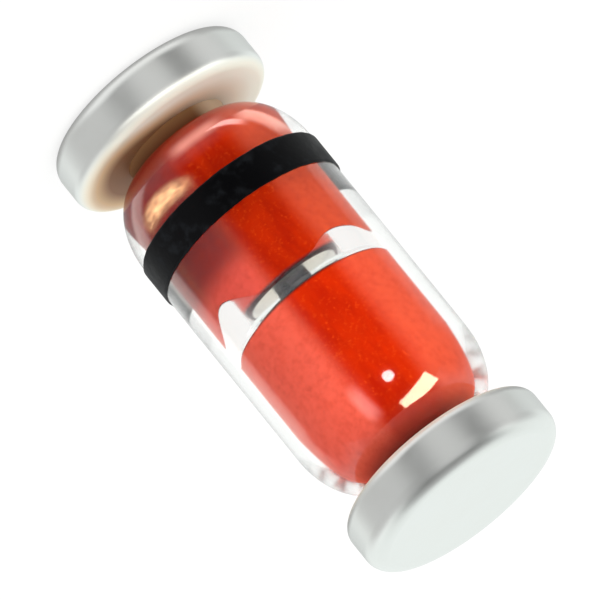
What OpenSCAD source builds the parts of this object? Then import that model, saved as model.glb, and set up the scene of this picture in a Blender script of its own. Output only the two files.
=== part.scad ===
// Leadless glass zener diode, standing upright on its cathode disc.
// The package axis is Z. The cathode disc's outer face is at Z = 0 and the anode disc is on top.

/* [Package] */
// Length over the outer faces of the two end discs
overall_length = 3.5; // [3.3:0.05:3.8]

/* [End discs] */
// Diameter of each end disc
disc_diameter = 1.5; // [1.42:0.01:1.7]
// Thickness of each end disc
disc_thickness = 0.36; // [0.26:0.01:0.46]
// Rounding of the rim beside the outer face
rim_outer_round = 0.12; // [0.04:0.01:0.15]
// Rounding of the rim beside the glass
rim_inner_round = 0.09; // [0.02:0.01:0.12]

/* [Glass sleeve] */
// Outer diameter of the glass
glass_diameter = 1.38; // [1.2:0.01:1.4]
// Bare length of stud between each disc and the glass
neck_length = 0.1; // [0.06:0.01:0.2]
// Length of the melted shoulder at each end of the glass
shoulder_length = 0.47; // [0.3:0.01:0.6]

/* [Studs] */
// Diameter of the studs, and of the glass bore that is sealed on to them
stud_diameter = 0.75; // [0.6:0.01:0.86]
// Rounding of the end of each stud that faces the chip
stud_end_round = 0.05; // [0.02:0.01:0.12]

/* [Chip] */
// Width of the square silicon chip
chip_width = 0.24; // [0.2:0.01:0.4]
// Thickness of the chip
chip_thickness = 0.08; // [0.06:0.01:0.16]
// Diameter of the silver bump on the chip's anode side
bump_diameter = 0.16; // [0.1:0.01:0.2]
// Height of the bump
bump_height = 0.025; // [0.02:0.005:0.06]

/* [Cathode band] */
// Distance from the shoulder to the near edge of the band
band_setback = 0.01; // [0:0.01:0.3]
// Width of the band along the glass
band_width = 0.26; // [0.15:0.01:0.5]
// Thickness of the ink
band_thickness = 0.02; // [0.015:0.005:0.03]

/* [Hidden] */
$fn = 96;

tin_plate = [0.74, 0.74, 0.72];
red_oxide = [0.80, 0.20, 0.06];
silicon = [0.22, 0.22, 0.25];
silver = [0.86, 0.86, 0.84];
clear_glass = [0.88, 0.92, 0.92, 0.35];
black_ink = [0.03, 0.03, 0.04];

disc_r = disc_diameter / 2;
glass_r = glass_diameter / 2;
stud_r = stud_diameter / 2;
glass_wall = glass_r - stud_r;

// Both rim roundings leave a straight land between them, however thin the disc is
rim_outer_share = 0.5;
rim_inner_share = 0.4;
outer_round = min(rim_outer_round, rim_outer_share * disc_thickness);
inner_round = min(rim_inner_round, rim_inner_share * disc_thickness);

// Heights along the axis
glass_start = disc_thickness + neck_length;
wall_start = glass_start + shoulder_length;
stud_gap = chip_thickness + bump_height;
chip_start = (overall_length - stud_gap) / 2;
stud_length = chip_start - disc_thickness;
band_start = wall_start + band_setback;

// The melted shoulder is a quarter ellipse that leaves the stud square to it and runs out in the wall
shoulder_steps = 24;
lower_shoulder = [
    for (i = [0 : shoulder_steps])
        let (turn = 90 * i / shoulder_steps)
            [stud_r + glass_wall * sin(turn), glass_start + shoulder_length * (1 - cos(turn))]
];
upper_shoulder = [
    for (i = [shoulder_steps : -1 : 0])
        [lower_shoulder[i].x, overall_length - lower_shoulder[i].y]
];

// Sector of a disc between two angles less than a third of a turn apart
module pie(radius, start_angle, end_angle) {
    reach = 2 * radius;
    intersection() {
        circle(radius);
        polygon([
            [0, 0],
            reach * [cos(start_angle), sin(start_angle)],
            reach * [cos(end_angle), sin(end_angle)]
        ]);
    }
}

// Half section of an end disc, outer face down
module disc_section() {
    square([disc_r - outer_round, outer_round]);
    translate([0, outer_round])
        square([disc_r, disc_thickness - outer_round - inner_round]);
    translate([0, disc_thickness - inner_round])
        square([disc_r - inner_round, inner_round]);
    translate([disc_r - outer_round, outer_round])
        pie(outer_round, -90, 0);
    translate([disc_r - inner_round, disc_thickness - inner_round])
        pie(inner_round, 0, 90);
}

// Half section of a stud, standing on its disc with the rounded end up
module stud_section() {
    square([stud_r, stud_length - stud_end_round]);
    translate([0, stud_length - stud_end_round])
        square([stud_r - stud_end_round, stud_end_round]);
    translate([stud_r - stud_end_round, stud_length - stud_end_round])
        pie(stud_end_round, 0, 90);
}

// Half section of the sleeve: the two shoulders, joined by the straight wall and by the bore
module sleeve_section() {
    polygon(concat(lower_shoulder, upper_shoulder));
}

// Turns a piece of the cathode end over to the anode end
module at_anode_end() {
    translate([0, 0, overall_length])
        mirror([0, 0, 1])
            children();
}

module end_disc() {
    rotate_extrude()
        disc_section();
}

module stud() {
    translate([0, 0, disc_thickness])
        rotate_extrude()
            stud_section();
}

module cathode_disc() {
    color(tin_plate)
        end_disc();
}

module cathode_stud() {
    color(red_oxide)
        stud();
}

module zener_chip() {
    color(silicon)
        translate([-chip_width / 2, -chip_width / 2, chip_start])
            cube([chip_width, chip_width, chip_thickness]);
}

module contact_bump() {
    color(silver)
        translate([0, 0, chip_start + chip_thickness])
            cylinder(h = bump_height, d = bump_diameter);
}

module anode_stud() {
    color(red_oxide)
        at_anode_end()
            stud();
}

module anode_disc() {
    color(tin_plate)
        at_anode_end()
            end_disc();
}

module glass_sleeve() {
    color(clear_glass)
        rotate_extrude()
            sleeve_section();
}

module cathode_band() {
    color(black_ink)
        rotate_extrude()
            translate([glass_r, band_start])
                square([band_thickness, band_width]);
}

cathode_disc();
cathode_stud();
zener_chip();
contact_bump();
anode_stud();
anode_disc();
glass_sleeve();
cathode_band();
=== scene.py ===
"""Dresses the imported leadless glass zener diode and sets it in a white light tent.

The frame is the CAD's own: metres, the package axis on Z, the cathode disc's outer face at Z = 0.
Azimuths in this file are measured about Z from -Y, where the camera stands, towards -X. Left is the
side towards +X and right the side towards -X.
"""
import logging
import math
from collections.abc import Iterable
from dataclasses import dataclass
from enum import Enum
from typing import ClassVar, NamedTuple

import bpy
import numpy as np
from bpy.types import Light, Material, Node, NodeSocket, NodeTree, Object, World
from mathutils import Matrix, Vector


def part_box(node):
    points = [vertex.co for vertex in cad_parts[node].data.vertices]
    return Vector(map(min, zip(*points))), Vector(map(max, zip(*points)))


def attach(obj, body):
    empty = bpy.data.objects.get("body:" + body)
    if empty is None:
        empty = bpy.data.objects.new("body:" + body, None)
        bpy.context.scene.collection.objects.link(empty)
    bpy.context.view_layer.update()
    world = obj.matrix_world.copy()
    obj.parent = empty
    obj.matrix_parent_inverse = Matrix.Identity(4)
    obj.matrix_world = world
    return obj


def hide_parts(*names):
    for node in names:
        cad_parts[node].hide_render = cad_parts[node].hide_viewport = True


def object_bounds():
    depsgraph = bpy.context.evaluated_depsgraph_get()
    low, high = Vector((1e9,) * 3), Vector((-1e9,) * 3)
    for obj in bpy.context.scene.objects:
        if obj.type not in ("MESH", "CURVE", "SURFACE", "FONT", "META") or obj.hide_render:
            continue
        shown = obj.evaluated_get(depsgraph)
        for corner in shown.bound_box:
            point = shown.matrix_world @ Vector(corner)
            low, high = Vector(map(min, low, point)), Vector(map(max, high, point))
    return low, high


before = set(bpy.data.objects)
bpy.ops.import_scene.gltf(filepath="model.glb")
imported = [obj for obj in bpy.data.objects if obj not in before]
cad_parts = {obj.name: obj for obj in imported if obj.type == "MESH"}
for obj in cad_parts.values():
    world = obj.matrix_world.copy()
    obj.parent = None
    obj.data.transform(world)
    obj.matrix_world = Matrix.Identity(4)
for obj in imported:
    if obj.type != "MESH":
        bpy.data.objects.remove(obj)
CAD_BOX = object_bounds()

MM = 0.001
BODY = "root"
# Light that enters the shoulders runs on along the glass wall by many inner reflections
BOUNCES = {"max_bounces": 32, "glossy_bounces": 24, "diffuse_bounces": 12}

# Settings that several nodes share
COLOURS = {"data_type": "RGBA"}
SMOOTH = {"interpolation_type": "SMOOTHSTEP"}
ABSOLUTE, DOT, MAXIMUM, MULTIPLY, SUBTRACT = (
    {"operation": name} for name in ("ABSOLUTE", "DOT_PRODUCT", "MAXIMUM", "MULTIPLY", "SUBTRACT")
)
# Sockets of a Mix node for colours: the share of the second one, the two colours and the mixed colour
SHARE, FIRST, SECOND, MIXED = 0, 6, 7, 2

LOG = logging.getLogger("zener_diode")


class End(Enum):
    """The two ends of the package, with the words that name their nodes."""

    CATHODE = "cathode"
    ANODE = "anode"


class Noise(NamedTuple):
    """A noise: its grains' width in millimetres, its detail, how rough that is, and a stretch along Z."""

    grain_mm: float
    detail: float
    rough: float = 0.5
    stretch: float = 1.0


def linear(colour: str) -> tuple[float, float, float, float]:
    """Turns an sRGB hex colour to linear by the standard curve.

    Args:
        colour: the colour as "#RRGGBB".

    Returns:
        Linear red, green and blue, with an alpha of 1.
    """
    srgb = np.array([int(colour[i : i + 2], 16) for i in (1, 3, 5)]) / 255.0
    low, high = srgb / 12.92, ((srgb + 0.055) / 1.055) ** 2.4
    return (*np.where(srgb <= 0.04045, low, high).tolist(), 1.0)


def add_node(tree: NodeTree, kind: str, settings: dict | None = None, inputs: dict | None = None) -> Node:
    """Adds a node with its settings, and sets or links its inputs.

    Args:
        tree: the node tree that takes the node.
        kind: Blender's name of the node type.
        settings: the node's own properties.
        inputs: socket name or number to a value, a hex colour or the output socket that feeds it.

    Returns:
        The new node.
    """
    node = tree.nodes.new(kind)
    for key, value in (settings or {}).items():
        setattr(node, key, value)
    for key, value in (inputs or {}).items():
        if isinstance(value, NodeSocket):
            tree.links.new(value, node.inputs[key])
        else:
            node.inputs[key].default_value = linear(value) if isinstance(value, str) else value
    return node


def cleared(owner: Material | World | Light) -> NodeTree:
    """Switches an owner's nodes on and empties their tree.

    Args:
        owner: the material, world or light.

    Returns:
        Its empty tree.
    """
    owner.use_nodes = True
    owner.node_tree.nodes.clear()
    return owner.node_tree


def narrowed(
    tree: NodeTree, share: NodeSocket | float, where: NodeSocket, start: float, full: float
) -> NodeSocket:
    """Multiplies a share by a smooth step.

    Args:
        tree: the tree.
        share: the share so far.
        where: the place that the step is taken along.
        start: the place where the step is 0.
        full: the place where the step is 1.

    Returns:
        The narrowed share.
    """
    step = add_node(
        tree, "ShaderNodeMapRange", SMOOTH, {"Value": where, "From Min": start, "From Max": full}
    ).outputs["Result"]
    return add_node(tree, "ShaderNodeMath", MULTIPLY, {0: share, 1: step}).outputs[0]


def axis_place(tree: NodeTree, spot: NodeSocket, middle_mm: float) -> tuple[NodeSocket, NodeSocket]:
    """Works out where a point of a turned piece lies, from its Object coordinates.

    Args:
        tree: the material's tree.
        spot: the Object coordinates.
        middle_mm: height of the part's middle.

    Returns:
        The distance from the middle along the axis and the distance from the axis, in metres.
    """
    height = add_node(tree, "ShaderNodeSeparateXYZ", inputs={"Vector": spot}).outputs["Z"]
    offset = add_node(tree, "ShaderNodeMath", SUBTRACT, {0: height, 1: middle_mm * MM}).outputs[0]
    reach = add_node(tree, "ShaderNodeMath", ABSOLUTE, {0: offset}).outputs[0]
    flat = add_node(tree, "ShaderNodeVectorMath", MULTIPLY, {0: spot, 1: (1.0, 1.0, 0.0)}).outputs[0]
    radius = add_node(tree, "ShaderNodeVectorMath", {"operation": "LENGTH"}, {0: flat}).outputs["Value"]
    return reach, radius


def smooth(x: np.ndarray) -> np.ndarray:
    """Eases from 0 at x = 0 to 1 at x = 1 by 3x^2 - 2x^3, level outside."""
    x = np.clip(x, 0.0, 1.0)
    return x * x * (3.0 - 2.0 * x)


def hump(angle: np.ndarray, centre: float, half_width: float) -> np.ndarray:
    """A smooth hump round a circle: 1 at the centre angle, 0 from half_width away on, all in radians."""
    away = np.abs((angle - centre + math.pi) % (2.0 * math.pi) - math.pi)
    return smooth(1.0 - away / half_width)


def turns(columns: int) -> np.ndarray:
    """The azimuth of each column of a turned piece, evenly spaced round the circle, in radians."""
    return np.linspace(0.0, 2.0 * math.pi, columns, endpoint=False)


def wander(turn: np.ndarray, waves: Iterable[tuple]) -> np.ndarray:
    """Sums share * cos(count * turn + phase) over the waves, each a share, a count and a phase."""
    return sum(share * np.cos(count * turn + phase) for share, count, phase in waves)


def turned(name: str, radii: np.ndarray, heights: np.ndarray, ring: bool = False) -> Object:
    """Builds a turned surface from a grid.

    Row i and column j lie at radius r(i, j) and height z(i, j), at the turn 2 pi j / columns about Z:
    x = -r sin(turn), y = -r cos(turn), so that the turn is an azimuth of this file. The rows follow
    the section with the solid on the left, so faces point outwards. The last column joins the first.
    A row of radius 0 is one vertex, a pole.

    Args:
        name: the object's name.
        radii: radii in millimetres, rows by columns.
        heights: heights in millimetres, rows by columns.
        ring: True if the last row joins the first, for a section that doesn't reach the axis.

    Returns:
        The new object, smooth-shaded and linked to the scene.
    """
    radii, heights = radii * MM, heights * MM
    rows, columns = radii.shape
    turn = turns(columns)
    points = np.stack([-radii * np.sin(turn), -radii * np.cos(turn), heights], axis=-1).reshape(-1, 3)
    pole = np.all(radii == 0.0, axis=1)
    kept = np.ones((rows, columns), bool)
    kept[pole, 1:] = False
    index = (np.cumsum(kept) - 1).reshape(rows, columns)
    index[pole] = index[pole][:, :1]
    if ring:
        index, pole = np.vstack([index, index[:1]]), np.append(pole, pole[0])
    here, there = index[:-1], index[1:]
    # The turn runs clockwise seen from above, so a face runs up first and then round
    quads = np.stack([here, there, np.roll(there, -1, 1), np.roll(here, -1, 1)], axis=-1)
    from_pole, to_pole = pole[:-1], pole[1:]
    sides = quads[~from_pole & ~to_pole].reshape(-1, 4)
    starts = quads[from_pole][..., [0, 1, 2]].reshape(-1, 3)
    ends = quads[to_pole][..., [0, 1, 3]].reshape(-1, 3)
    mesh = bpy.data.meshes.new(name)
    faces = [*sides.tolist(), *starts.tolist(), *ends.tolist()]
    mesh.from_pydata(points[kept.ravel()].tolist(), [], faces)
    mesh.polygons.foreach_set("use_smooth", np.ones(len(mesh.polygons), bool))
    mesh.update()
    piece = bpy.data.objects.new(name, mesh)
    bpy.context.scene.collection.objects.link(piece)
    return piece


def turned_end(name: str, end: End, points: np.ndarray, span: tuple[float, float], columns: int) -> Object:
    """Turns a half section that is drawn for the cathode end, or turns it over for the anode end.

    Args:
        name: the object's name.
        end: the end that the piece is at.
        points: radius and height above the piece's outer end, in millimetres, for each point.
        span: the piece's lowest and highest height, in millimetres.
        columns: number of columns round the axis.

    Returns:
        The new object.
    """
    low, high = span
    if end is End.CATHODE:
        radii, heights = points[:, 0], low + points[:, 1]
    else:
        radii, heights = points[::-1, 0], high - points[::-1, 1]
    spread = np.ones(columns)
    return turned(name, np.outer(radii, spread), np.outer(heights, spread))


def arc(centre: tuple[float, float], radius: float, start: float, end: float, steps: int) -> np.ndarray:
    """Points on a circle's arc in the half section.

    Args:
        centre: radius and height of the circle's centre, in millimetres.
        radius: the circle's radius, in millimetres.
        start: angle of the first point in degrees, from the outward direction towards +Z.
        end: angle of the last point in degrees.
        steps: number of points.

    Returns:
        Radius and height of each point, steps by 2.
    """
    angle = np.radians(np.linspace(start, end, steps))
    return np.stack([centre[0] + radius * np.cos(angle), centre[1] + radius * np.sin(angle)], axis=-1)


def line(start: tuple[float, float], end: tuple[float, float], steps: int) -> np.ndarray:
    """Evenly spaced points from start up to, but without, end, each a radius and a height."""
    share = np.linspace(0.0, 1.0, steps, endpoint=False)[:, None]
    return np.asarray(start) * (1.0 - share) + np.asarray(end) * share


def node_span(node: str) -> tuple[float, float, float]:
    """Reads a round node's outer radius, lowest and highest height from the frame, in millimetres."""
    low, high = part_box(node)
    return (high.x - low.x) / 2.0 / MM, low.z / MM, high.z / MM


def place(piece: Object, material: Material, node: str) -> None:
    """Dresses a piece, makes it ride on the body and stand for its node.

    Args:
        piece: the finished piece.
        material: its material.
        node: the CAD node that it stands for.
    """
    piece.data.materials.append(material)
    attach(piece, BODY)
    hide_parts(node)
    LOG.info("%s: %d faces, %s", piece.name, len(piece.data.polygons), material.name)


@dataclass(frozen=True)
class Finish:
    """What a piece is made of, and how that meets the eye. Each kind works out its shader's sockets."""

    name: str

    def sockets(self, tree: NodeTree, spot: NodeSocket, noise: dict[str, NodeSocket]) -> dict[str, object]:
        """Works out the shader's sockets, in each kind of finish.

        Args:
            tree: the material's tree.
            spot: the Object coordinates, in metres.
            noise: the finish's noises, by the names of their fields.

        Returns:
            Socket name to its value or to the output that feeds it.
        """
        raise NotImplementedError

    def material(self) -> Material:
        """Builds the finish's noises on Object coordinates, and one shader that its sockets feed.

        Returns:
            The new material.
        """
        material = bpy.data.materials.new(self.name)
        tree = cleared(material)
        spot = add_node(tree, "ShaderNodeTexCoord").outputs["Object"]
        noises = {key: value for key, value in vars(self).items() if isinstance(value, Noise)}
        noise = {}
        for key, (size, detail, rough, stretch) in noises.items():
            where = spot
            if stretch != 1.0:
                where = add_node(
                    tree, "ShaderNodeMapping", inputs={"Vector": spot, "Scale": (1.0, 1.0, 1.0 / stretch)}
                ).outputs["Vector"]
            noise[key] = add_node(
                tree,
                "ShaderNodeTexNoise",
                inputs={"Vector": where, "Scale": 1.0 / (size * MM), "Detail": detail, "Roughness": rough},
            ).outputs["Fac"]
        shader = add_node(tree, "ShaderNodeBsdfPrincipled", inputs=self.sockets(tree, spot, noise))
        add_node(tree, "ShaderNodeOutputMaterial", inputs={"Surface": shader.outputs["BSDF"]})
        return material


@dataclass(frozen=True)
class TinPlate(Finish):
    """Matte tin, plated on a pressed disc: a soft grey metal, clouded a little by the plating.

    Its inner faces carry a painted reflection of the red glass and painted shade, unevenly, from straw at
    the rim to brown by the stud.
    """

    middle_mm: float
    inner_reach_mm: float
    light: str = "#DDDFDD"
    dark: str = "#CFD0CC"
    straw: str = "#ECEBDD"
    tan: str = "#D2B48C"
    shaded_brown: str = "#8A6444"
    roughness: tuple[float, float] = (0.31, 0.41)
    cloud: Noise = Noise(0.3, 3.0, 0.55)
    cloud_span: tuple[float, float] = (0.25, 0.75)
    # The real crystals are a few microns wide, and are drawn about ten times coarser so that they show
    crystal: Noise = Noise(0.04, 2.0)
    crystal_depth_mm: float = 0.0003
    painted_zone_edge_mm: float = 0.06
    # Under the painted reflection and shade the metal is dulled, so that the painted colour shows
    painted_zone_roughness: float = 0.6
    painted_zone_metallic: float = 0.3
    straw_radius_mm: float = 0.6
    tan_radius_mm: float = 0.48
    shaded_brown_radius_mm: float = 0.38
    # The painted reflection and shade is paler towards -X and wider towards +X
    pale_side_mm: tuple[float, float] = (0.1, -0.5)
    pale_share: float = 0.7
    wide_side_mm: tuple[float, float] = (-0.05, 0.5)
    wider_mm: float = 0.15

    @classmethod
    def on_discs(cls) -> "TinPlate":
        """Makes the finish with the place of the discs' inner faces, read from the frame.

        Returns:
            The finish.
        """
        _, _, low = node_span("cathode_disc")
        _, high, _ = node_span("anode_disc")
        return cls("matte_tin_plate", (low + high) / 2.0, (high - low) / 2.0)

    def sockets(self, tree: NodeTree, spot: NodeSocket, noise: dict[str, NodeSocket]) -> dict[str, object]:
        """Puts clouds in the colour and roughness, the painted reflection and shade, and crystals in a
        bump.

        Args:
            tree: the material's tree.
            spot: the Object coordinates, in metres.
            noise: the finish's noises, by the names of their fields.

        Returns:
            Socket name to its value or to the output that feeds it.
        """
        reach, radius = axis_place(tree, spot, self.middle_mm)
        across = add_node(tree, "ShaderNodeSeparateXYZ", inputs={"Vector": spot}).outputs["X"]
        # Where the inner faces' painted reflection and shade lie, how much wider towards +X, and paler
        # towards -X
        in_painted_zone, wider, paler_side = (
            add_node(
                tree,
                "ShaderNodeMapRange",
                SMOOTH,
                {"Value": where, "From Min": start * MM, "From Max": full * MM, "To Max": most},
            ).outputs["Result"]
            for where, (start, full), most in (
                (reach, (self.inner_reach_mm + self.painted_zone_edge_mm, self.inner_reach_mm), 1.0),
                (across, self.wide_side_mm, self.wider_mm * MM),
                (across, self.pale_side_mm, self.pale_share),
            )
        )
        radius = add_node(tree, "ShaderNodeMath", SUBTRACT, {0: radius, 1: wider}).outputs[0]
        # The painted reflection and shade by radius, from straw at the rim through tan to brown by the stud
        painted_colour = self.straw
        for inner, start, full in (
            (self.tan, self.tan_radius_mm, self.straw_radius_mm),
            (self.shaded_brown, self.shaded_brown_radius_mm, self.tan_radius_mm),
        ):
            outwards = add_node(
                tree,
                "ShaderNodeMapRange",
                inputs={"Value": radius, "From Min": start * MM, "From Max": full * MM},
            ).outputs["Result"]
            painted_colour = add_node(
                tree, "ShaderNodeMix", COLOURS, {SHARE: outwards, FIRST: inner, SECOND: painted_colour}
            ).outputs[MIXED]
        painted_by_side, plate = (
            add_node(
                tree, "ShaderNodeMix", COLOURS, {SHARE: share, FIRST: first, SECOND: second}
            ).outputs[MIXED]
            for share, first, second in (
                (paler_side, painted_colour, self.straw),
                (noise["cloud"], self.dark, self.light),
            )
        )
        colour = add_node(
            tree, "ShaderNodeMix", COLOURS, {SHARE: in_painted_zone, FIRST: plate, SECOND: painted_by_side}
        ).outputs[MIXED]
        clouded = add_node(
            tree,
            "ShaderNodeMapRange",
            inputs={
                "Value": noise["cloud"],
                "From Min": self.cloud_span[0],
                "From Max": self.cloud_span[1],
                "To Min": self.roughness[0],
                "To Max": self.roughness[1],
            },
        ).outputs["Result"]
        dulled = add_node(
            tree, "ShaderNodeMix", inputs={"Factor": in_painted_zone, "A": clouded, "B": self.painted_zone_roughness}
        ).outputs["Result"]
        bare = add_node(
            tree,
            "ShaderNodeMapRange",
            inputs={"Value": in_painted_zone, "To Min": 1.0, "To Max": self.painted_zone_metallic},
        ).outputs["Result"]
        bump = add_node(
            tree,
            "ShaderNodeBump",
            inputs={"Height": noise["crystal"], "Strength": 1.0, "Distance": self.crystal_depth_mm * MM},
        ).outputs["Normal"]
        return {"Base Color": colour, "Metallic": bare, "Roughness": dulled, "Normal": bump}


@dataclass(frozen=True)
class RedOxide(Finish):
    """Cuprous oxide fired on to copper-clad wire: brick red under the glass, with drawn streaks and grains.

    Its two flanks carry painted sheen and shade, broken by a fine mottle, and painted shade darkens it
    towards the disc. The front of the cathode stud has one pale streak, a painted reflection. The end by
    the chip is plated with silver inside a copper edge darkened by painted shade, and the neck outside the
    glass carries painted shade and a painted reflection of the red glass.
    """

    middle_mm: float
    core_reach_mm: float
    glass_reach_mm: float
    deep: str
    red: str
    bright: str
    left: str
    right: str
    tip: str
    disc_end_shade: str
    # The copper ring round the plated end is real; its dark tone is painted shade of the gap
    copper: str = "#4A2026"
    core: str = "#FBF8F2"
    # The neck's browns are painted shade and a painted reflection of the red glass, darkest by the glass,
    # with painted light paler on the right
    crevice_shade: str = "#4A2A1A"
    neck: str = "#7E5A3C"
    lit_neck: str = "#B8A28A"
    neck_mm: float = 0.09
    # How far the neck's colour fades in, inside and outside the end of the glass
    neck_fade_mm: tuple[float, float] = (0.02, 0.01)
    disc_end_shade_mm: float = 0.3
    # Where each flank's painted sheen or shade sets in and is full, along X, and the left flank's tip by
    # the chip, which has its own painted light
    left_painted_light_mm: tuple[float, float] = (0.05, 0.16)
    right_painted_light_mm: tuple[float, float] = (-0.18, -0.32)
    tip_reach_mm: tuple[float, float] = (0.46, 0.24)
    # The pale streak near the disc, in the colour thin, is a painted reflection: its two edges and how soft
    # they are, along the axis, X and Y
    thin_front: bool = False
    thin: str = "#FFAAA0"
    painted_streak_spans_mm: tuple[tuple[float, float, float], ...] = (
        (1.085, 1.14, 0.025),
        (-0.22, 0.06, 0.06),
        (-0.5, -0.2, 0.06),
    )
    painted_streak_share: float = 0.75
    streak: Noise = Noise(0.09, 3.0, 0.6, stretch=4.0)
    streak_span: tuple[float, float] = (0.25, 0.7)
    patch: Noise = Noise(0.05, 4.0, 0.75)
    patch_span: tuple[float, float] = (0.3, 0.6)
    patch_least: float = 0.66
    # Oxide grains are about a micron wide, and are drawn coarser so that they show
    fine: Noise = Noise(0.024, 3.0, 0.7)
    fine_span: tuple[float, float] = (0.52, 0.84)
    fine_depth_mm: float = 0.001
    fine_strength: float = 0.6
    core_radius_mm: float = 0.33
    core_rim_mm: float = 0.01
    core_skin_mm: float = 0.012
    core_fade_mm: float = 0.02
    oxide_roughness: float = 0.6
    silver_roughness: float = 0.22
    # The glass is melted on to the oxide, which leaves little shine between them
    shine: float = 0.02
    # Deep, red, bright, left, right, tip and disc-end colours of each stud. The cathode's are darker as
    # painted shade; left, right and tip are painted sheen and shade, and the last is painted shade by the
    # disc
    REDS: ClassVar[dict[End, tuple[str, ...]]] = {
        End.CATHODE: ("#AF1B00", "#C72A00", "#DE4A14", "#92201A", "#E45126", "#F25646", "#8C1A0A"),
        End.ANODE: ("#C61F00", "#DA2D00", "#F0521A", "#FF624A", "#F65934", "#FF624A", "#903C34"),
    }

    @classmethod
    def on_stud(cls, end: End) -> "RedOxide":
        """Makes one stud's finish with the places of the studs' ends and of the glass, read from the frame.

        Args:
            end: the stud's end.

        Returns:
            The finish.
        """
        _, _, low = node_span("cathode_stud")
        _, high, _ = node_span("anode_stud")
        _, glass_low, glass_high = node_span("glass_sleeve")
        return cls(
            f"{end.value}_copper_oxide",
            (low + high) / 2.0,
            (high - low) / 2.0 + cls.core_skin_mm,
            (glass_high - glass_low) / 2.0,
            *cls.REDS[end],
            thin_front=end is End.CATHODE,
        )

    def painted_streak(self, tree: NodeTree, places: tuple[NodeSocket, ...]) -> NodeSocket:
        """Works out where the painted reflection streak lies: the product of smooth steps at both edges of
        each span.

        Args:
            tree: the material's tree.
            places: the distance from the middle along the axis, X and Y.

        Returns:
            The share of the painted reflection.
        """
        share = self.painted_streak_share
        for where, (low, high, soft) in zip(places, self.painted_streak_spans_mm):
            for edge, step in ((low, soft), (high, -soft)):
                share = narrowed(tree, share, where, (edge - step) * MM, (edge + step) * MM)
        return share

    def sockets(self, tree: NodeTree, spot: NodeSocket, noise: dict[str, NodeSocket]) -> dict[str, object]:
        """Lays the streaks and grains, then the painted light and shade, the plated end and the neck over
        them.

        Args:
            tree: the material's tree.
            spot: the Object coordinates, in metres.
            noise: the finish's noises, by the names of their fields.

        Returns:
            Socket name to its value or to the output that feeds it.
        """
        streaked, specks, mottle = (
            add_node(
                tree,
                "ShaderNodeMapRange",
                SMOOTH,
                {"Value": pattern, "From Min": start, "From Max": full, "To Min": least},
            ).outputs["Result"]
            for pattern, (start, full), least in (
                (noise["streak"], self.streak_span, 0.0),
                (noise["fine"], self.fine_span, 0.0),
                (noise["patch"], self.patch_span, self.patch_least),
            )
        )
        across, away, _ = add_node(tree, "ShaderNodeSeparateXYZ", inputs={"Vector": spot}).outputs
        reach, radius = axis_place(tree, spot, self.middle_mm)
        glass, core = self.glass_reach_mm, self.core_reach_mm
        neck_in, neck_out = self.neck_fade_mm
        in_left_painted_light, in_right_painted_light, on_tip, in_disc_end_shade, on_end, in_core, on_neck, to_disc = (
            add_node(
                tree,
                "ShaderNodeMapRange",
                settings,
                {"Value": where, "From Min": start * MM, "From Max": full * MM},
            ).outputs["Result"]
            for settings, where, (start, full) in (
                (SMOOTH, across, self.left_painted_light_mm),
                (SMOOTH, across, self.right_painted_light_mm),
                (SMOOTH, reach, self.tip_reach_mm),
                (SMOOTH, reach, (glass - self.disc_end_shade_mm, glass)),
                (None, reach, (core + self.core_fade_mm, core)),
                (None, radius, (self.core_radius_mm + self.core_rim_mm, self.core_radius_mm)),
                (None, reach, (glass - neck_in, glass + neck_out)),
                (None, reach, (glass, glass + self.neck_mm)),
            )
        )
        # Painted sheen and shade on the two flanks, broken by the mottle
        left_painted_share, right_painted_share = (
            add_node(tree, "ShaderNodeMath", MULTIPLY, {0: flank, 1: mottle}).outputs[0]
            for flank in (in_left_painted_light, in_right_painted_light)
        )
        colour, left, end, shaded_neck = (
            add_node(
                tree, "ShaderNodeMix", COLOURS, {SHARE: share, FIRST: first, SECOND: second}
            ).outputs[MIXED]
            for share, first, second in (
                (streaked, self.deep, self.red),
                (on_tip, self.left, self.tip),
                (in_core, self.copper, self.core),
                (to_disc, self.crevice_shade, self.neck),
            )
        )
        # The neck's painted shade, made paler on the right by painted light
        neck = add_node(
            tree, "ShaderNodeMix", COLOURS, {SHARE: in_right_painted_light, FIRST: shaded_neck, SECOND: self.lit_neck}
        ).outputs[MIXED]
        # The coats: bright specks, painted sheen and shade on the flanks, painted shade by the disc and, on
        # the cathode, the painted reflection streak
        coats = [(specks, self.bright), (left_painted_share, left), (right_painted_share, self.right), (in_disc_end_shade, self.disc_end_shade)]
        if self.thin_front:
            coats.append((self.painted_streak(tree, (reach, across, away)), self.thin))
        for share, coat in (*coats, (on_end, end), (on_neck, neck)):
            colour = add_node(
                tree, "ShaderNodeMix", COLOURS, {SHARE: share, FIRST: colour, SECOND: coat}
            ).outputs[MIXED]
        rough = add_node(
            tree,
            "ShaderNodeMapRange",
            inputs={"Value": on_end, "To Min": self.oxide_roughness, "To Max": self.silver_roughness},
        ).outputs["Result"]
        bump = add_node(
            tree,
            "ShaderNodeBump",
            inputs={
                "Height": noise["fine"],
                "Strength": self.fine_strength,
                "Distance": self.fine_depth_mm * MM,
            },
        ).outputs["Normal"]
        return {
            "Base Color": colour,
            "Metallic": on_end,
            "Roughness": rough,
            "Specular IOR Level": self.shine,
            "Normal": bump,
        }


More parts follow.
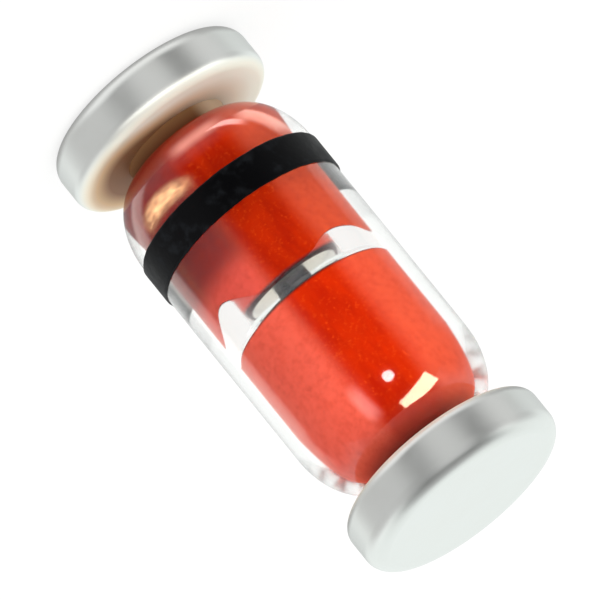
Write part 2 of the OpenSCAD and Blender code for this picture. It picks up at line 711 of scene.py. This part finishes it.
@dataclass(frozen=True)
class LeadGlass(Finish):
    """Clear lead glass, melted on in a furnace: bends the view strongly, with faint fire-polished waves.

    The trace of roughness stands in for the fine unevenness of a melted surface, which keeps the shoulders
    from mirroring the discs over and over.
    """

    name: str = "fire_polished_lead_glass"
    colour: str = "#FBFCFB"
    haze: str = "#F3F6F4"
    ior: float = 1.56
    roughness: float = 0.08
    wave: Noise = Noise(0.35, 1.0)
    wave_depth_mm: float = 0.0003

    def sockets(self, tree: NodeTree, spot: NodeSocket, noise: dict[str, NodeSocket]) -> dict[str, object]:
        """Makes plain refracting glass with a faint cast that drifts, and slow waves in its surface.

        Args:
            tree: the material's tree.
            spot: the Object coordinates, in metres; not used here.
            noise: the finish's noises, by the names of their fields.

        Returns:
            Socket name to its value or to the output that feeds it.
        """
        colour = add_node(
            tree, "ShaderNodeMix", COLOURS, {SHARE: noise["wave"], FIRST: self.haze, SECOND: self.colour}
        ).outputs[MIXED]
        bump = add_node(
            tree,
            "ShaderNodeBump",
            inputs={"Height": noise["wave"], "Strength": 1.0, "Distance": self.wave_depth_mm * MM},
        ).outputs["Normal"]
        return {
            "Base Color": colour,
            "Roughness": self.roughness,
            "IOR": self.ior,
            "Transmission Weight": 1.0,
            "Normal": bump,
        }


@dataclass(frozen=True)
class BlackInk(Finish):
    """Baked marking ink, rolled on to the glass: near black, a little patchy, with a dull shine."""

    name: str = "baked_black_ink"
    thick: str = "#050508"
    thin: str = "#14171B"
    shine: float = 0.12
    roughness: tuple[float, float] = (0.4, 0.6)
    patch: Noise = Noise(0.1, 4.0, 0.6)
    thin_span: tuple[float, float] = (0.48, 0.72)
    rough_span: tuple[float, float] = (0.25, 0.75)
    fine: Noise = Noise(0.03, 2.0)
    fine_depth_mm: float = 0.0015
    fine_strength: float = 0.7

    def sockets(self, tree: NodeTree, spot: NodeSocket, noise: dict[str, NodeSocket]) -> dict[str, object]:
        """Puts in patches where the ink is thinner, and its grain as a bump.

        Args:
            tree: the material's tree.
            spot: the Object coordinates, in metres; not used here.
            noise: the finish's noises, by the names of their fields.

        Returns:
            Socket name to its value or to the output that feeds it.
        """
        patch = noise["patch"]
        thinner, rough = (
            add_node(
                tree,
                "ShaderNodeMapRange",
                settings,
                {"Value": patch, "From Min": start, "From Max": full, "To Min": least, "To Max": most},
            ).outputs["Result"]
            for settings, (start, full), (least, most) in (
                (SMOOTH, self.thin_span, (0.0, 1.0)),
                (None, self.rough_span, self.roughness),
            )
        )
        colour = add_node(
            tree, "ShaderNodeMix", COLOURS, {SHARE: thinner, FIRST: self.thick, SECOND: self.thin}
        ).outputs[MIXED]
        bump = add_node(
            tree,
            "ShaderNodeBump",
            inputs={
                "Height": noise["fine"],
                "Strength": self.fine_strength,
                "Distance": self.fine_depth_mm * MM,
            },
        ).outputs["Normal"]
        return {"Base Color": colour, "Roughness": rough, "Specular IOR Level": self.shine, "Normal": bump}


@dataclass(frozen=True)
class ClampedMetal(Finish):
    """A small polished or plated piece in the gap: one metal with faint clouds in colour and shine."""

    light: str
    dark: str
    roughness: float
    swing: float = 0.3
    cloud: Noise = Noise(0.05, 2.0)

    def sockets(self, tree: NodeTree, spot: NodeSocket, noise: dict[str, NodeSocket]) -> dict[str, object]:
        """Puts the clouds in the colour and the roughness.

        Args:
            tree: the material's tree.
            spot: the Object coordinates, in metres; not used here.
            noise: the finish's noises, by the names of their fields.

        Returns:
            Socket name to its value or to the output that feeds it.
        """
        cloud = noise["cloud"]
        colour = add_node(
            tree, "ShaderNodeMix", COLOURS, {SHARE: cloud, FIRST: self.dark, SECOND: self.light}
        ).outputs[MIXED]
        least, most = self.roughness * (1.0 - self.swing), self.roughness * (1.0 + self.swing)
        shine = add_node(
            tree, "ShaderNodeMapRange", inputs={"Value": cloud, "To Min": least, "To Max": most}
        ).outputs["Result"]
        return {"Base Color": colour, "Metallic": 1.0, "Roughness": shine}


@dataclass
class EndDisc:
    """A pressed end disc with rolled rims, its flat face sunk by a hair towards the middle."""

    end: End
    outer_round_mm: float = 0.12
    inner_round_mm: float = 0.09
    dish_mm: float = 0.004
    face_rows: int = 24
    outer_rows: int = 22
    inner_rows: int = 18
    shelf_rows: int = 16
    columns: int = 192

    def build(self, material: Material) -> Object:
        """Turns the disc's half section and dresses it.

        The line runs from the axis out over the outer face, round the rim and back over the inner face.
        The outer face is sunk by dish * (1 - (r / flat radius)^2)^2.

        Args:
            material: the tin plate.

        Returns:
            The finished disc.
        """
        node = f"{self.end.value}_disc"
        radius, low, high = node_span(node)
        thick = high - low
        flat, shelf = radius - self.outer_round_mm, radius - self.inner_round_mm
        face = line((0.0, 0.0), (flat, 0.0), self.face_rows)
        face[:, 1] += self.dish_mm * (1.0 - (face[:, 0] / flat) ** 2) ** 2
        points = np.vstack(
            [
                face,
                arc((flat, self.outer_round_mm), self.outer_round_mm, -90.0, 0.0, self.outer_rows),
                arc((shelf, thick - self.inner_round_mm), self.inner_round_mm, 0.0, 90.0, self.inner_rows),
                line((shelf, thick), (0.0, thick), self.shelf_rows)[1:],
                [[0.0, thick]],
            ]
        )
        disc = turned_end(f"{self.end.value}_end_disc", self.end, points, (low, high), self.columns)
        place(disc, material, node)
        return disc


@dataclass
class SealedStud:
    """A length of copper-clad wire, butted on to its disc, with a rounded end by the chip.

    The end is rounded less than the solid's, because the photo shows a sharper one through the glass.
    """

    end: End
    end_round_mm: float = 0.035
    root_mm: float = 0.02
    foot_rows: int = 6
    wall_rows: int = 60
    round_rows: int = 16
    end_rows: int = 16
    columns: int = 160

    def build(self, material: Material) -> Object:
        """Turns the wire's outline and dresses it.

        The line runs from the axis under the disc's inner face, up the wire, round its end and back
        to the axis. The foot stands a little inside the disc, where the two are welded.

        Args:
            material: the red oxide.

        Returns:
            The finished stud.
        """
        node = f"{self.end.value}_stud"
        radius, low, high = node_span(node)
        length = high - low
        top, flat = length - self.end_round_mm, radius - self.end_round_mm
        points = np.vstack(
            [
                line((0.0, -self.root_mm), (radius, -self.root_mm), self.foot_rows),
                line((radius, -self.root_mm), (radius, top), self.wall_rows),
                arc((flat, top), self.end_round_mm, 0.0, 90.0, self.round_rows),
                line((flat, length), (0.0, length), self.end_rows)[1:],
                [[0.0, length]],
            ]
        )
        stud = turned_end(f"{self.end.value}_sealed_stud", self.end, points, (low, high), self.columns)
        place(stud, material, node)
        return stud


@dataclass
class ChipStack:
    """The silicon chip and the silver bump on it, clamped between the studs."""

    corner_power: float = 14.0
    edge_mm: float = 0.008
    bulge_mm: float = 0.012
    face_rows: int = 4
    edge_rows: int = 5
    side_rows: int = 9
    columns: int = 96

    def build_chip(self, material: Material) -> Object:
        """Builds the sawn chip.

        Its outline is the rounded square |x|^p + |y|^p = half^p, and its edges are eased by the same
        quarter circle all round.

        Args:
            material: the silicon.

        Returns:
            The finished chip.
        """
        half, low, high = node_span("zener_chip")
        turn, power, edge = turns(self.columns), self.corner_power, self.edge_mm
        square = (np.abs(np.cos(turn)) ** power + np.abs(np.sin(turn)) ** power) ** (-1.0 / power)
        points = np.vstack(
            [
                line((0.0, low), (half - edge, low), self.face_rows),
                arc((half - edge, low + edge), edge, -90.0, 0.0, self.edge_rows),
                arc((half - edge, high - edge), edge, 0.0, 90.0, self.edge_rows),
                line((half - edge, high), (0.0, high), self.face_rows)[1:],
                [[0.0, high]],
            ]
        )
        radii, heights = np.outer(points[:, 0], square), np.outer(points[:, 1], np.ones(self.columns))
        chip = turned("silicon_chip", radii, heights)
        place(chip, material, "zener_chip")
        return chip

    def build_bump(self, material: Material) -> Object:
        """Builds the bump, whose side is drawn in at both ends along a half sine.

        Args:
            material: the silver.

        Returns:
            The finished bump.
        """
        radius, low, high = node_span("contact_bump")
        share = np.linspace(0.0, 1.0, self.side_rows)
        belly = radius - self.bulge_mm * (1.0 - np.sin(math.pi * share))
        waist, height = radius - self.bulge_mm, high - low
        points = np.vstack(
            [
                line((0.0, 0.0), (waist, 0.0), self.face_rows),
                np.stack([belly, height * share], axis=-1),
                line((waist, height), (0.0, height), self.face_rows)[1:],
                [[0.0, height]],
            ]
        )
        bump = turned_end("silver_bump", End.CATHODE, points, (low, high), self.columns)
        place(bump, material, "contact_bump")
        return bump


@dataclass
class GlassSleeve:
    """The glass tube, melted down on to both studs, with a bare ring of bore round the chip.

    Waves are given by their share, their count round the axis and their phase, and those of the outer
    wall by how fast they turn with the height too, in radians to a millimetre.
    """

    shoulder_mm: float = 0.47
    # Sealed bore wall inside the stud's skin, so that no air shows between glass and stud
    seal_mm: float = 0.004
    # Bore wall outside the stud's skin where the glass didn't take to it
    parting_mm: float = 0.003
    seal_edge_mm: float = 0.024
    bare_back_mm: float = 0.02
    bare_front_mm: float = 0.006
    # How far the bare ring runs on along the cathode and the anode stud, at the left and at the right,
    # and the turns at which it does
    foot_left_mm: tuple[float, float] = (0.17, 0.05)
    foot_right_mm: tuple[float, float] = (0.1, 0.04)
    foot_left_deg: tuple[float, float] = (-66.0, -112.0)
    foot_right_deg: tuple[float, float] = (62.0, 112.0)
    foot_half_width_deg: float = 46.0
    ripple_mm: float = 0.006
    ripple_waves: tuple[tuple[float, float, float], ...] = ((1.0, 5.0, 0.9), (0.7, 9.0, 2.2))
    # The ripple at the anode is weaker, and lies one part of this many further round
    anode_ripple: float = 0.5
    anode_ripple_parts: int = 5
    wave_mm: float = 0.0015
    wall_waves: tuple[tuple[float, ...], ...] = ((0.6, 2.0, 0.4, 1.7), (0.4, 3.0, 2.0, -3.1))
    run_mm: float = 0.004
    run_waves: tuple[tuple[float, float, float], ...] = ((0.6, 1.0, -0.6), (0.4, 3.0, 1.1))
    # Share of the way from the middle to an end at which its run sets in
    run_start: float = 0.55
    shoulder_rows: int = 64
    wall_rows: int = 26
    seal_rows: int = 14
    # Fine rows of the bore round the chip, and half the height that they cover
    fine_rows: int = 124
    fine_mm: float = 0.3
    columns: int = 288

    def __post_init__(self) -> None:
        """Reads the sleeve's and the studs' sizes from the frame, in millimetres."""
        self.radius_mm, self.low_mm, self.high_mm = node_span("glass_sleeve")
        self.stud_mm, _, self.gap_low_mm = node_span("cathode_stud")
        _, self.gap_high_mm, _ = node_span("anode_stud")
        self.turn = turns(self.columns)

    def outside(self) -> tuple[np.ndarray, np.ndarray]:
        """Works out the outer wall from the cathode end up.

        Each shoulder is a quarter ellipse: r = stud + wall sin(a), z = shoulder (1 - cos(a)) from the
        end of the glass, and the wall between them is straight. The melted ends run a little further
        at some turns than at others, by slow cosines, and the wall bends in and out by the same sort
        of cosines, which fade out at the studs.

        Returns:
            Radii and heights in millimetres, rows by columns.
        """
        low, high, wall = self.low_mm, self.high_mm, self.radius_mm - self.stud_mm
        bend = np.linspace(0.0, math.pi / 2.0, self.shoulder_rows)
        rise, swell = self.shoulder_mm * (1.0 - np.cos(bend)), self.stud_mm + wall * np.sin(bend)
        straight = np.linspace(low + self.shoulder_mm, high - self.shoulder_mm, self.wall_rows)[1:-1]
        base_r = np.concatenate([swell, np.full(len(straight), self.radius_mm), swell[::-1]])[:, None]
        base_z = np.concatenate([low + rise, straight, high - rise[::-1]])[:, None]
        depth = (base_r - self.stud_mm) / wall
        to_end = np.abs(base_z - (low + high) / 2.0) / ((high - low) / 2.0)
        slanted = ((share, count, phase + climb * base_z) for share, count, phase, climb in self.wall_waves)
        radii = base_r + self.wave_mm * depth * (wander(self.turn, slanted) - 1.0)
        run = self.run_mm * wander(self.turn, self.run_waves)
        heights = base_z + smooth((to_end - self.run_start) / (1.0 - self.run_start)) * run
        return radii, heights

    def bore(self) -> tuple[np.ndarray, np.ndarray]:
        """Works out the bore from the anode end down.

        The wall is seal_mm inside the studs where the glass took to them. Round the chip it steps out
        to parting_mm outside them, between two lines that wander with the turn, by a smooth step.

        Returns:
            Radii and heights in millimetres, rows by columns.
        """
        turn, width = self.turn, math.radians(self.foot_half_width_deg)
        ripple = self.ripple_mm * wander(turn, self.ripple_waves)
        far_ripple = self.anode_ripple * np.roll(ripple, self.columns // self.anode_ripple_parts)
        on_cathode, on_anode = (
            self.foot_left_mm[stud] * hump(turn, math.radians(self.foot_left_deg[stud]), width)
            + self.foot_right_mm[stud] * hump(turn, math.radians(self.foot_right_deg[stud]), width)
            for stud in (0, 1)
        )
        low = self.gap_low_mm - self.bare_back_mm + ripple - on_cathode
        high = self.gap_high_mm + self.bare_front_mm + far_ripple + on_anode
        middle = (self.gap_low_mm + self.gap_high_mm) / 2.0
        near = np.linspace(self.fine_mm, -self.fine_mm, self.fine_rows)
        above = np.linspace(self.high_mm - middle, near[0], self.seal_rows)[:-1]
        below = np.linspace(near[-1], self.low_mm - middle, self.seal_rows)[1:]
        heights = np.tile((middle + np.concatenate([above, near, below]))[:, None], (1, self.columns))
        bare = smooth((heights - low) / self.seal_edge_mm) * smooth((high - heights) / self.seal_edge_mm)
        radii = self.stud_mm - self.seal_mm + (self.seal_mm + self.parting_mm) * bare
        return radii, heights

    def build(self, material: Material) -> Object:
        """Joins the outside and the bore into one closed ring of glass.

        Args:
            material: the lead glass.

        Returns:
            The finished sleeve.
        """
        radii, heights = (np.vstack(walls) for walls in zip(self.outside(), self.bore()))
        sleeve = turned("melted_glass_sleeve", radii, heights, ring=True)
        place(sleeve, material, "glass_sleeve")
        return sleeve


@dataclass
class CathodeBand:
    """The ring of ink on the glass, with slightly ragged edges and feathered thickness."""

    # The dried ink stands a hair off the glass, which keeps its own inner shine there
    lift_mm: float = 0.0005
    edge_mm: float = 0.012
    # The solid is as thick as the thickest ink, and the printed ring is thinner by this
    thinner_mm: float = 0.008
    # Share of the thickness that the ink keeps at its very edges
    edge_share: float = 0.35
    # The edges lie inside the solid's by a share of ragged_mm, and fray by another
    ragged_mm: float = 0.006
    inset_share: float = 0.6
    fray_share: float = 0.25
    # Share, count round the axis and phase of each wave
    fray_waves: tuple[tuple[float, float, float], ...] = (
        (1.0, 3.0, 0.5),
        (0.6, 11.0, 1.9),
        (0.4, 29.0, 0.2),
        (0.3, 47.0, 2.6),
    )
    # The upper edge frays as the lower one does, one part of this many further round
    fray_parts: int = 3
    rows: int = 25
    columns: int = 256

    def build(self, material: Material) -> Object:
        """Builds the ring.

        Its section is a low mound, thickness t(s) = full * smooth(s / edge) * smooth((1 - s) / edge)
        over the width, on a foot just above the glass. Its two edges wander along the axis by sums of
        cosines of the turn.

        Args:
            material: the ink.

        Returns:
            The finished band.
        """
        radius, low, high = node_span("cathode_band")
        glass, _, _ = node_span("glass_sleeve")
        foot, thick = glass + self.lift_mm, radius - self.thinner_mm - glass - self.lift_mm
        fray = self.fray_share * wander(turns(self.columns), self.fray_waves)
        edge_low = low + self.ragged_mm * (self.inset_share + fray)
        far_fray = np.roll(fray, self.columns // self.fray_parts)
        edge_high = high - self.ragged_mm * (self.inset_share + far_fray)
        share = np.linspace(0.0, 1.0, self.rows)[:, None]
        width = edge_high - edge_low
        mound = smooth(share * width / self.edge_mm) * smooth((1.0 - share) * width / self.edge_mm)
        top_r = foot + thick * (self.edge_share + (1.0 - self.edge_share) * mound)
        base_z = np.stack([edge_high, edge_low])
        radii = np.vstack([top_r, np.full_like(base_z, foot)])
        heights = np.vstack([edge_low + share * width, base_z])
        band = turned("black_ink_band", radii, heights, ring=True)
        place(band, material, "cathode_band")
        return band


@dataclass
class PhotoCamera:
    """The camera, on the photo's line of sight, with the part's middle where the photo has it."""

    tilt_deg: float = 18.3
    roll_deg: float = 51.0
    distance_mm: float = 120.0
    focal_px: float = 18753.0
    image_px: float = 600.0
    middle_px: tuple[float, float] = (305.5, 298.5)
    middle_mm: float = 1.75
    sensor_mm: float = 36.0
    clip_m: tuple[float, float] = (0.001, 10.0)

    def build(self) -> Object:
        """Stands the camera above the horizon by the tilt and rolls the picture about the line of sight.

        Returns:
            The scene's camera.
        """
        tilt, roll = math.radians(self.tilt_deg), math.radians(self.roll_deg)
        back = Vector((0.0, -math.cos(tilt), math.sin(tilt)))
        across = Vector((1.0, 0.0, 0.0))
        along = Vector((0.0, math.sin(tilt), math.cos(tilt)))
        right = math.cos(roll) * along - math.sin(roll) * across
        down = math.sin(roll) * along + math.cos(roll) * across
        shift = [(px - self.image_px / 2.0) * self.distance_mm / self.focal_px for px in self.middle_px]
        middle = Vector((0.0, 0.0, self.middle_mm))
        eye = middle + self.distance_mm * back - shift[0] * right - shift[1] * down
        data = bpy.data.cameras.new("photo_camera")
        data.sensor_width = self.sensor_mm
        data.lens = self.focal_px / self.image_px * self.sensor_mm
        data.clip_start, data.clip_end = self.clip_m
        camera = bpy.data.objects.new("photo_camera", data)
        turn = Matrix((right, -down, back)).transposed().to_4x4()
        camera.matrix_world = Matrix.Translation(eye * MM) @ turn
        bpy.context.scene.collection.objects.link(camera)
        bpy.context.scene.camera = camera
        LOG.info("camera: %.1f mm lens at %.1f mm", data.lens, self.distance_mm)
        return camera


def direction(azimuth_deg: float, elevation_deg: float) -> Vector:
    """Works out a direction from the part.

    Args:
        azimuth_deg: the azimuth, from the camera's side towards -X.
        elevation_deg: the elevation above the floor.

    Returns:
        The unit vector.
    """
    azimuth, elevation = math.radians(azimuth_deg), math.radians(elevation_deg)
    level = math.cos(elevation)
    return Vector((-math.sin(azimuth) * level, -math.cos(azimuth) * level, math.sin(elevation)))


@dataclass(frozen=True)
class Panel:
    """A side of the tent that is brighter or darker than the rest: a soft-edged rectangle of directions.

    The width and the height are measured from the panel's middle to its edge.
    """

    azimuth_deg: float
    elevation_deg: float
    wide_deg: float
    high_deg: float
    soft_deg: float
    level: float
    tint: str = "#FFFFFF"


class Shine(Enum):
    """The pieces that a lamp is set to shine on."""

    GLASS = "glass"
    DISCS = "discs"
    FAR_DISC = "far_disc"


@dataclass(frozen=True)
class StudioLamp:
    """A lamp that only shows as a reflection, on the glass, on the discs or on the far disc alone."""

    name: str
    shine: Shine
    azimuth_deg: float
    elevation_deg: float
    wide_deg: float
    high_deg: float
    level: float
    tint: str = "#FFFFFF"
    roll_deg: float = 0.0
    round_lamp: bool = False
    # Share of the lamp's half width over which it fades out, and of its light that is broken up
    soft: float = 0.0
    mottle: float = 0.0


@dataclass
class LightTent:
    """A tent of white cloth round the part, lit through its sides, with a pale floor."""

    plain_level: float = 1.0
    # Brighter sides that light the studs through the glass
    windows: tuple[Panel, ...] = (Panel(-50.0, 25.0, 60.0, 50.0, 15.0, 1.5),)
    # The cloth and the panels in it that a mirrored ray sees
    cloth_level: float = 0.45
    panels: tuple[Panel, ...] = (
        Panel(180.0, 30.0, 65.0, 45.0, 15.0, 1.25, "#FAFFFE"),
        Panel(0.0, -80.0, 45.0, 45.0, 12.0, 0.6),
        Panel(20.0, 8.0, 33.0, 60.0, 12.0, 0.02),
    )
    lamps: tuple[StudioLamp, ...] = (
        StudioLamp("round_lamp", Shine.GLASS, 16.3, 7.3, 12.6, 12.6, 20.0, "#FFFAF4", round_lamp=True),
        StudioLamp("square_lamp", Shine.GLASS, 44.4, 44.5, 43.5, 22.2, 22.0, "#FFF4CC", 36.5),
        StudioLamp("left_strip", Shine.GLASS, -114.0, -25.0, 34.0, 90.0, 2.0, "#FFF0E8", soft=0.6),
        StudioLamp("right_strip", Shine.GLASS, 113.0, -36.0, 32.0, 40.0, 4.2, "#FFE6D6", soft=0.6),
        StudioLamp(
            "golden_card", Shine.GLASS, -57.0, -33.5, 84.0, 27.0, 26.0, "#FFD69B", soft=0.9, mottle=0.6
        ),
        StudioLamp("left_glow", Shine.GLASS, -24.0, 16.0, 24.0, 64.0, 5.0, "#FFD4D0", soft=0.8),
        StudioLamp("low_strip", Shine.GLASS, 72.0, -68.7, 64.0, 14.0, 9.0, "#FFE0DA", -60.0, soft=0.5),
        StudioLamp("front_softbox", Shine.DISCS, 17.0, 5.0, 56.0, 110.0, 0.86, soft=0.3),
        StudioLamp("left_softbox", Shine.DISCS, -80.0, -10.0, 100.0, 110.0, 0.3, soft=0.3),
        StudioLamp("right_softbox", Shine.DISCS, 84.0, -10.0, 44.0, 110.0, 0.5, soft=0.5),
        StudioLamp("low_softbox", Shine.DISCS, 10.0, -70.0, 90.0, 60.0, 0.7, soft=0.4),
        StudioLamp("inner_softbox", Shine.FAR_DISC, 30.0, 45.0, 120.0, 40.0, 1.8, "#FFFCF4", soft=0.4),
    )
    # Grains across a lamp's face, their detail, and the span of the noise that breaks its light up
    mottle_grains: float = 9.0
    mottle_detail: float = 2.0
    mottle_span: tuple[float, float] = (0.38, 0.64)
    lamp_distance_mm: float = 80.0
    floor_mm: float = 400.0
    floor_drop_mm: float = 0.002
    floor_colour: str = "#F4F4F2"
    floor_share: float = 0.35
    floor_glow: float = 1.06
    floor_columns: int = 64

    def cloth(self, tree: NodeTree, plain: float, panels: tuple[Panel, ...]) -> NodeSocket:
        """Builds the light of the tent's cloth by direction.

        A panel's share at a direction is the product of two smooth steps, across and up from its middle.

        Args:
            tree: the world's tree.
            plain: level of the cloth between the panels.
            panels: the panels, of which a later one covers an earlier one.

        Returns:
            The colour by direction.
        """
        towards = add_node(tree, "ShaderNodeTexCoord").outputs["Generated"]
        level = (plain,) * 3 + (1.0,)
        for panel in panels:
            middle = direction(panel.azimuth_deg, panel.elevation_deg)
            across = direction(panel.azimuth_deg + 90.0, 0.0)
            ahead, aside, above = (
                add_node(tree, "ShaderNodeVectorMath", DOT, {0: towards, 1: axis}).outputs["Value"]
                for axis in (middle, across, middle.cross(across))
            )
            share = add_node(
                tree, "ShaderNodeMath", {"operation": "GREATER_THAN"}, {0: ahead, 1: 0.0}
            ).outputs[0]
            for offset, half in ((aside, panel.wide_deg), (above, panel.high_deg)):
                away = add_node(tree, "ShaderNodeMath", ABSOLUTE, {0: offset}).outputs[0]
                edges = (half + panel.soft_deg, half - panel.soft_deg)
                start, full = (math.sin(math.radians(edge)) for edge in edges)
                share = narrowed(tree, share, away, start, full)
            bright = tuple(panel.level * part for part in linear(panel.tint)[:3]) + (1.0,)
            level = add_node(
                tree, "ShaderNodeMix", COLOURS, {SHARE: share, FIRST: level, SECOND: bright}
            ).outputs[MIXED]
        return level

    def build_world(self) -> World:
        """Builds the tent's cloth as the world: white, with darker and brighter panels in reflections.

        Returns:
            The scene's world.
        """
        world = bpy.data.worlds.new("light_tent")
        tree = cleared(world)
        path = add_node(tree, "ShaderNodeLightPath").outputs
        # A ray that leaves the glass counts as glossy too, so that these are taken out again
        mirrored = add_node(
            tree,
            "ShaderNodeMath",
            {**SUBTRACT, "use_clamp": True},
            {0: path["Is Glossy Ray"], 1: path["Is Transmission Ray"]},
        ).outputs[0]
        plain = self.cloth(tree, self.plain_level, self.windows)
        glossy = self.cloth(tree, self.cloth_level, self.panels)
        shown = add_node(
            tree, "ShaderNodeMix", COLOURS, {SHARE: mirrored, FIRST: plain, SECOND: glossy}
        ).outputs[MIXED]
        cloth = add_node(tree, "ShaderNodeBackground", inputs={"Color": shown, "Strength": 1.0})
        add_node(tree, "ShaderNodeOutputWorld", inputs={"Surface": cloth.outputs["Background"]})
        # The cloth is smooth and wide, so that rays find it by themselves and each kind sees its own light
        world.cycles.sampling_method = "NONE"
        bpy.context.scene.world = world
        return world

    def build_floor(self) -> Object:
        """Builds the floor, which glows white to the camera and the glass and keeps a soft shadow.

        Returns:
            The floor.
        """
        radii = np.outer([self.floor_mm, 0.0], np.ones(self.floor_columns))
        floor = turned("pale_floor", radii, np.full_like(radii, -self.floor_drop_mm))
        material = bpy.data.materials.new("pale_paper")
        tree = cleared(material)
        path = add_node(tree, "ShaderNodeLightPath").outputs
        seen = path["Is Camera Ray"]
        for kind in ("Is Glossy Ray", "Is Transmission Ray"):
            seen = add_node(tree, "ShaderNodeMath", MAXIMUM, {0: seen, 1: path[kind]}).outputs[0]
        share = add_node(tree, "ShaderNodeMath", MULTIPLY, {0: seen, 1: 1.0 - self.floor_share}).outputs[0]
        paper = add_node(tree, "ShaderNodeBsdfDiffuse", inputs={"Color": self.floor_colour})
        glow = add_node(tree, "ShaderNodeEmission", inputs={"Strength": self.floor_glow})
        both = add_node(
            tree,
            "ShaderNodeMixShader",
            inputs={0: share, 1: paper.outputs["BSDF"], 2: glow.outputs["Emission"]},
        )
        add_node(tree, "ShaderNodeOutputMaterial", inputs={"Surface": both.outputs["Shader"]})
        floor.data.materials.append(material)
        # In reflections the tent's own cloth stands for the floor
        floor.visible_glossy = False
        LOG.info("%s: %.0f mm wide, %s", floor.name, 2.0 * self.floor_mm, material.name)
        return floor

    def soften(self, data: Light, lamp: StudioLamp) -> None:
        """Fades a square lamp out towards its edges by smooth steps, and breaks its light up by a noise.

        Args:
            data: the lamp's light.
            lamp: how soft and how broken it is.
        """
        tree = cleared(data)
        # The place on the lamp's face, from 0 to 1 along both of its sides
        spot = add_node(tree, "ShaderNodeNewGeometry").outputs["Parametric"]
        middle = 0.5
        cloud = add_node(
            tree,
            "ShaderNodeTexNoise",
            inputs={"Vector": spot, "Scale": self.mottle_grains, "Detail": self.mottle_detail},
        ).outputs["Fac"]
        start, full = self.mottle_span
        share = add_node(
            tree,
            "ShaderNodeMapRange",
            inputs={"Value": cloud, "From Min": start, "From Max": full, "To Min": 1.0 - lamp.mottle},
        ).outputs["Result"]
        sides = add_node(tree, "ShaderNodeSeparateXYZ", inputs={"Vector": spot}).outputs
        for side in (sides["X"], sides["Y"]):
            offset = add_node(tree, "ShaderNodeMath", SUBTRACT, {0: side, 1: middle}).outputs[0]
            away = add_node(tree, "ShaderNodeMath", ABSOLUTE, {0: offset}).outputs[0]
            share = narrowed(tree, share, away, middle, middle * (1.0 - lamp.soft))
        glow = add_node(tree, "ShaderNodeEmission", inputs={"Strength": share})
        add_node(tree, "ShaderNodeOutputLight", inputs={"Surface": glow.outputs["Emission"]})

    def build_lamps(self, shiny: dict[Shine, list[Object]]) -> None:
        """Hangs the lamps round the part, turned to face it. Each lights its own pieces alone.

        A lamp's power is pi * area * level, so that its face is as bright as the level says.

        Args:
            shiny: the pieces that show each kind of lamp.
        """
        middle = (CAD_BOX[0] + CAD_BOX[1]) / 2.0
        reach = self.lamp_distance_mm * MM
        lit = {shine: bpy.data.collections.new(f"{shine.value}_reflections") for shine in Shine}
        for shine, pieces in shiny.items():
            for piece in pieces:
                lit[shine].objects.link(piece)
        for lamp in self.lamps:
            data = bpy.data.lights.new(lamp.name, "AREA")
            data.shape = "DISK" if lamp.round_lamp else "RECTANGLE"
            data.size = 2.0 * reach * math.tan(math.radians(lamp.wide_deg / 2.0))
            data.size_y = 2.0 * reach * math.tan(math.radians(lamp.high_deg / 2.0))
            area = data.size * data.size_y * (math.pi / 4.0 if lamp.round_lamp else 1.0)
            data.energy = math.pi * area * lamp.level
            data.color = linear(lamp.tint)[:3]
            if lamp.soft > 0.0:
                self.soften(data, lamp)
            towards = direction(lamp.azimuth_deg, lamp.elevation_deg)
            light = bpy.data.objects.new(lamp.name, data)
            facing = towards.to_track_quat("Z", "Y").to_matrix().to_4x4()
            roll = Matrix.Rotation(math.radians(lamp.roll_deg), 4, "Z")
            light.matrix_world = Matrix.Translation(middle + reach * towards) @ facing @ roll
            light.visible_camera = light.visible_diffuse = light.visible_transmission = False
            light.light_linking.receiver_collection = lit[lamp.shine]
            bpy.context.scene.collection.objects.link(light)
            LOG.info("%s: level %.1f at azimuth %.0f", lamp.name, lamp.level, lamp.azimuth_deg)


def main() -> None:
    """Builds the part from its discs inwards, then the tent round it."""
    logging.basicConfig(level=logging.INFO, format="%(name)s: %(message)s")
    PhotoCamera().build()
    tin = TinPlate.on_discs().material()
    discs = [EndDisc(end).build(tin) for end in End]
    for end in End:
        SealedStud(end).build(RedOxide.on_stud(end).material())
    stack = ChipStack()
    stack.build_chip(ClampedMetal("sawn_silicon", "#5A5B62", "#2E2F36", roughness=0.28).material())
    stack.build_bump(ClampedMetal("plated_silver", "#E2E0DA", "#BDBAB2", roughness=0.3).material())
    sleeve = GlassSleeve().build(LeadGlass().material())
    CathodeBand().build(BlackInk().material())
    tent = LightTent()
    tent.build_world()
    tent.build_floor()
    tent.build_lamps({Shine.GLASS: [sleeve], Shine.DISCS: discs, Shine.FAR_DISC: discs[:1]})
    for name, most in BOUNCES.items():
        setattr(bpy.context.scene.cycles, name, most)
    bpy.context.scene.view_settings.view_transform = "Standard"


if __name__ == "__main__":
    main()
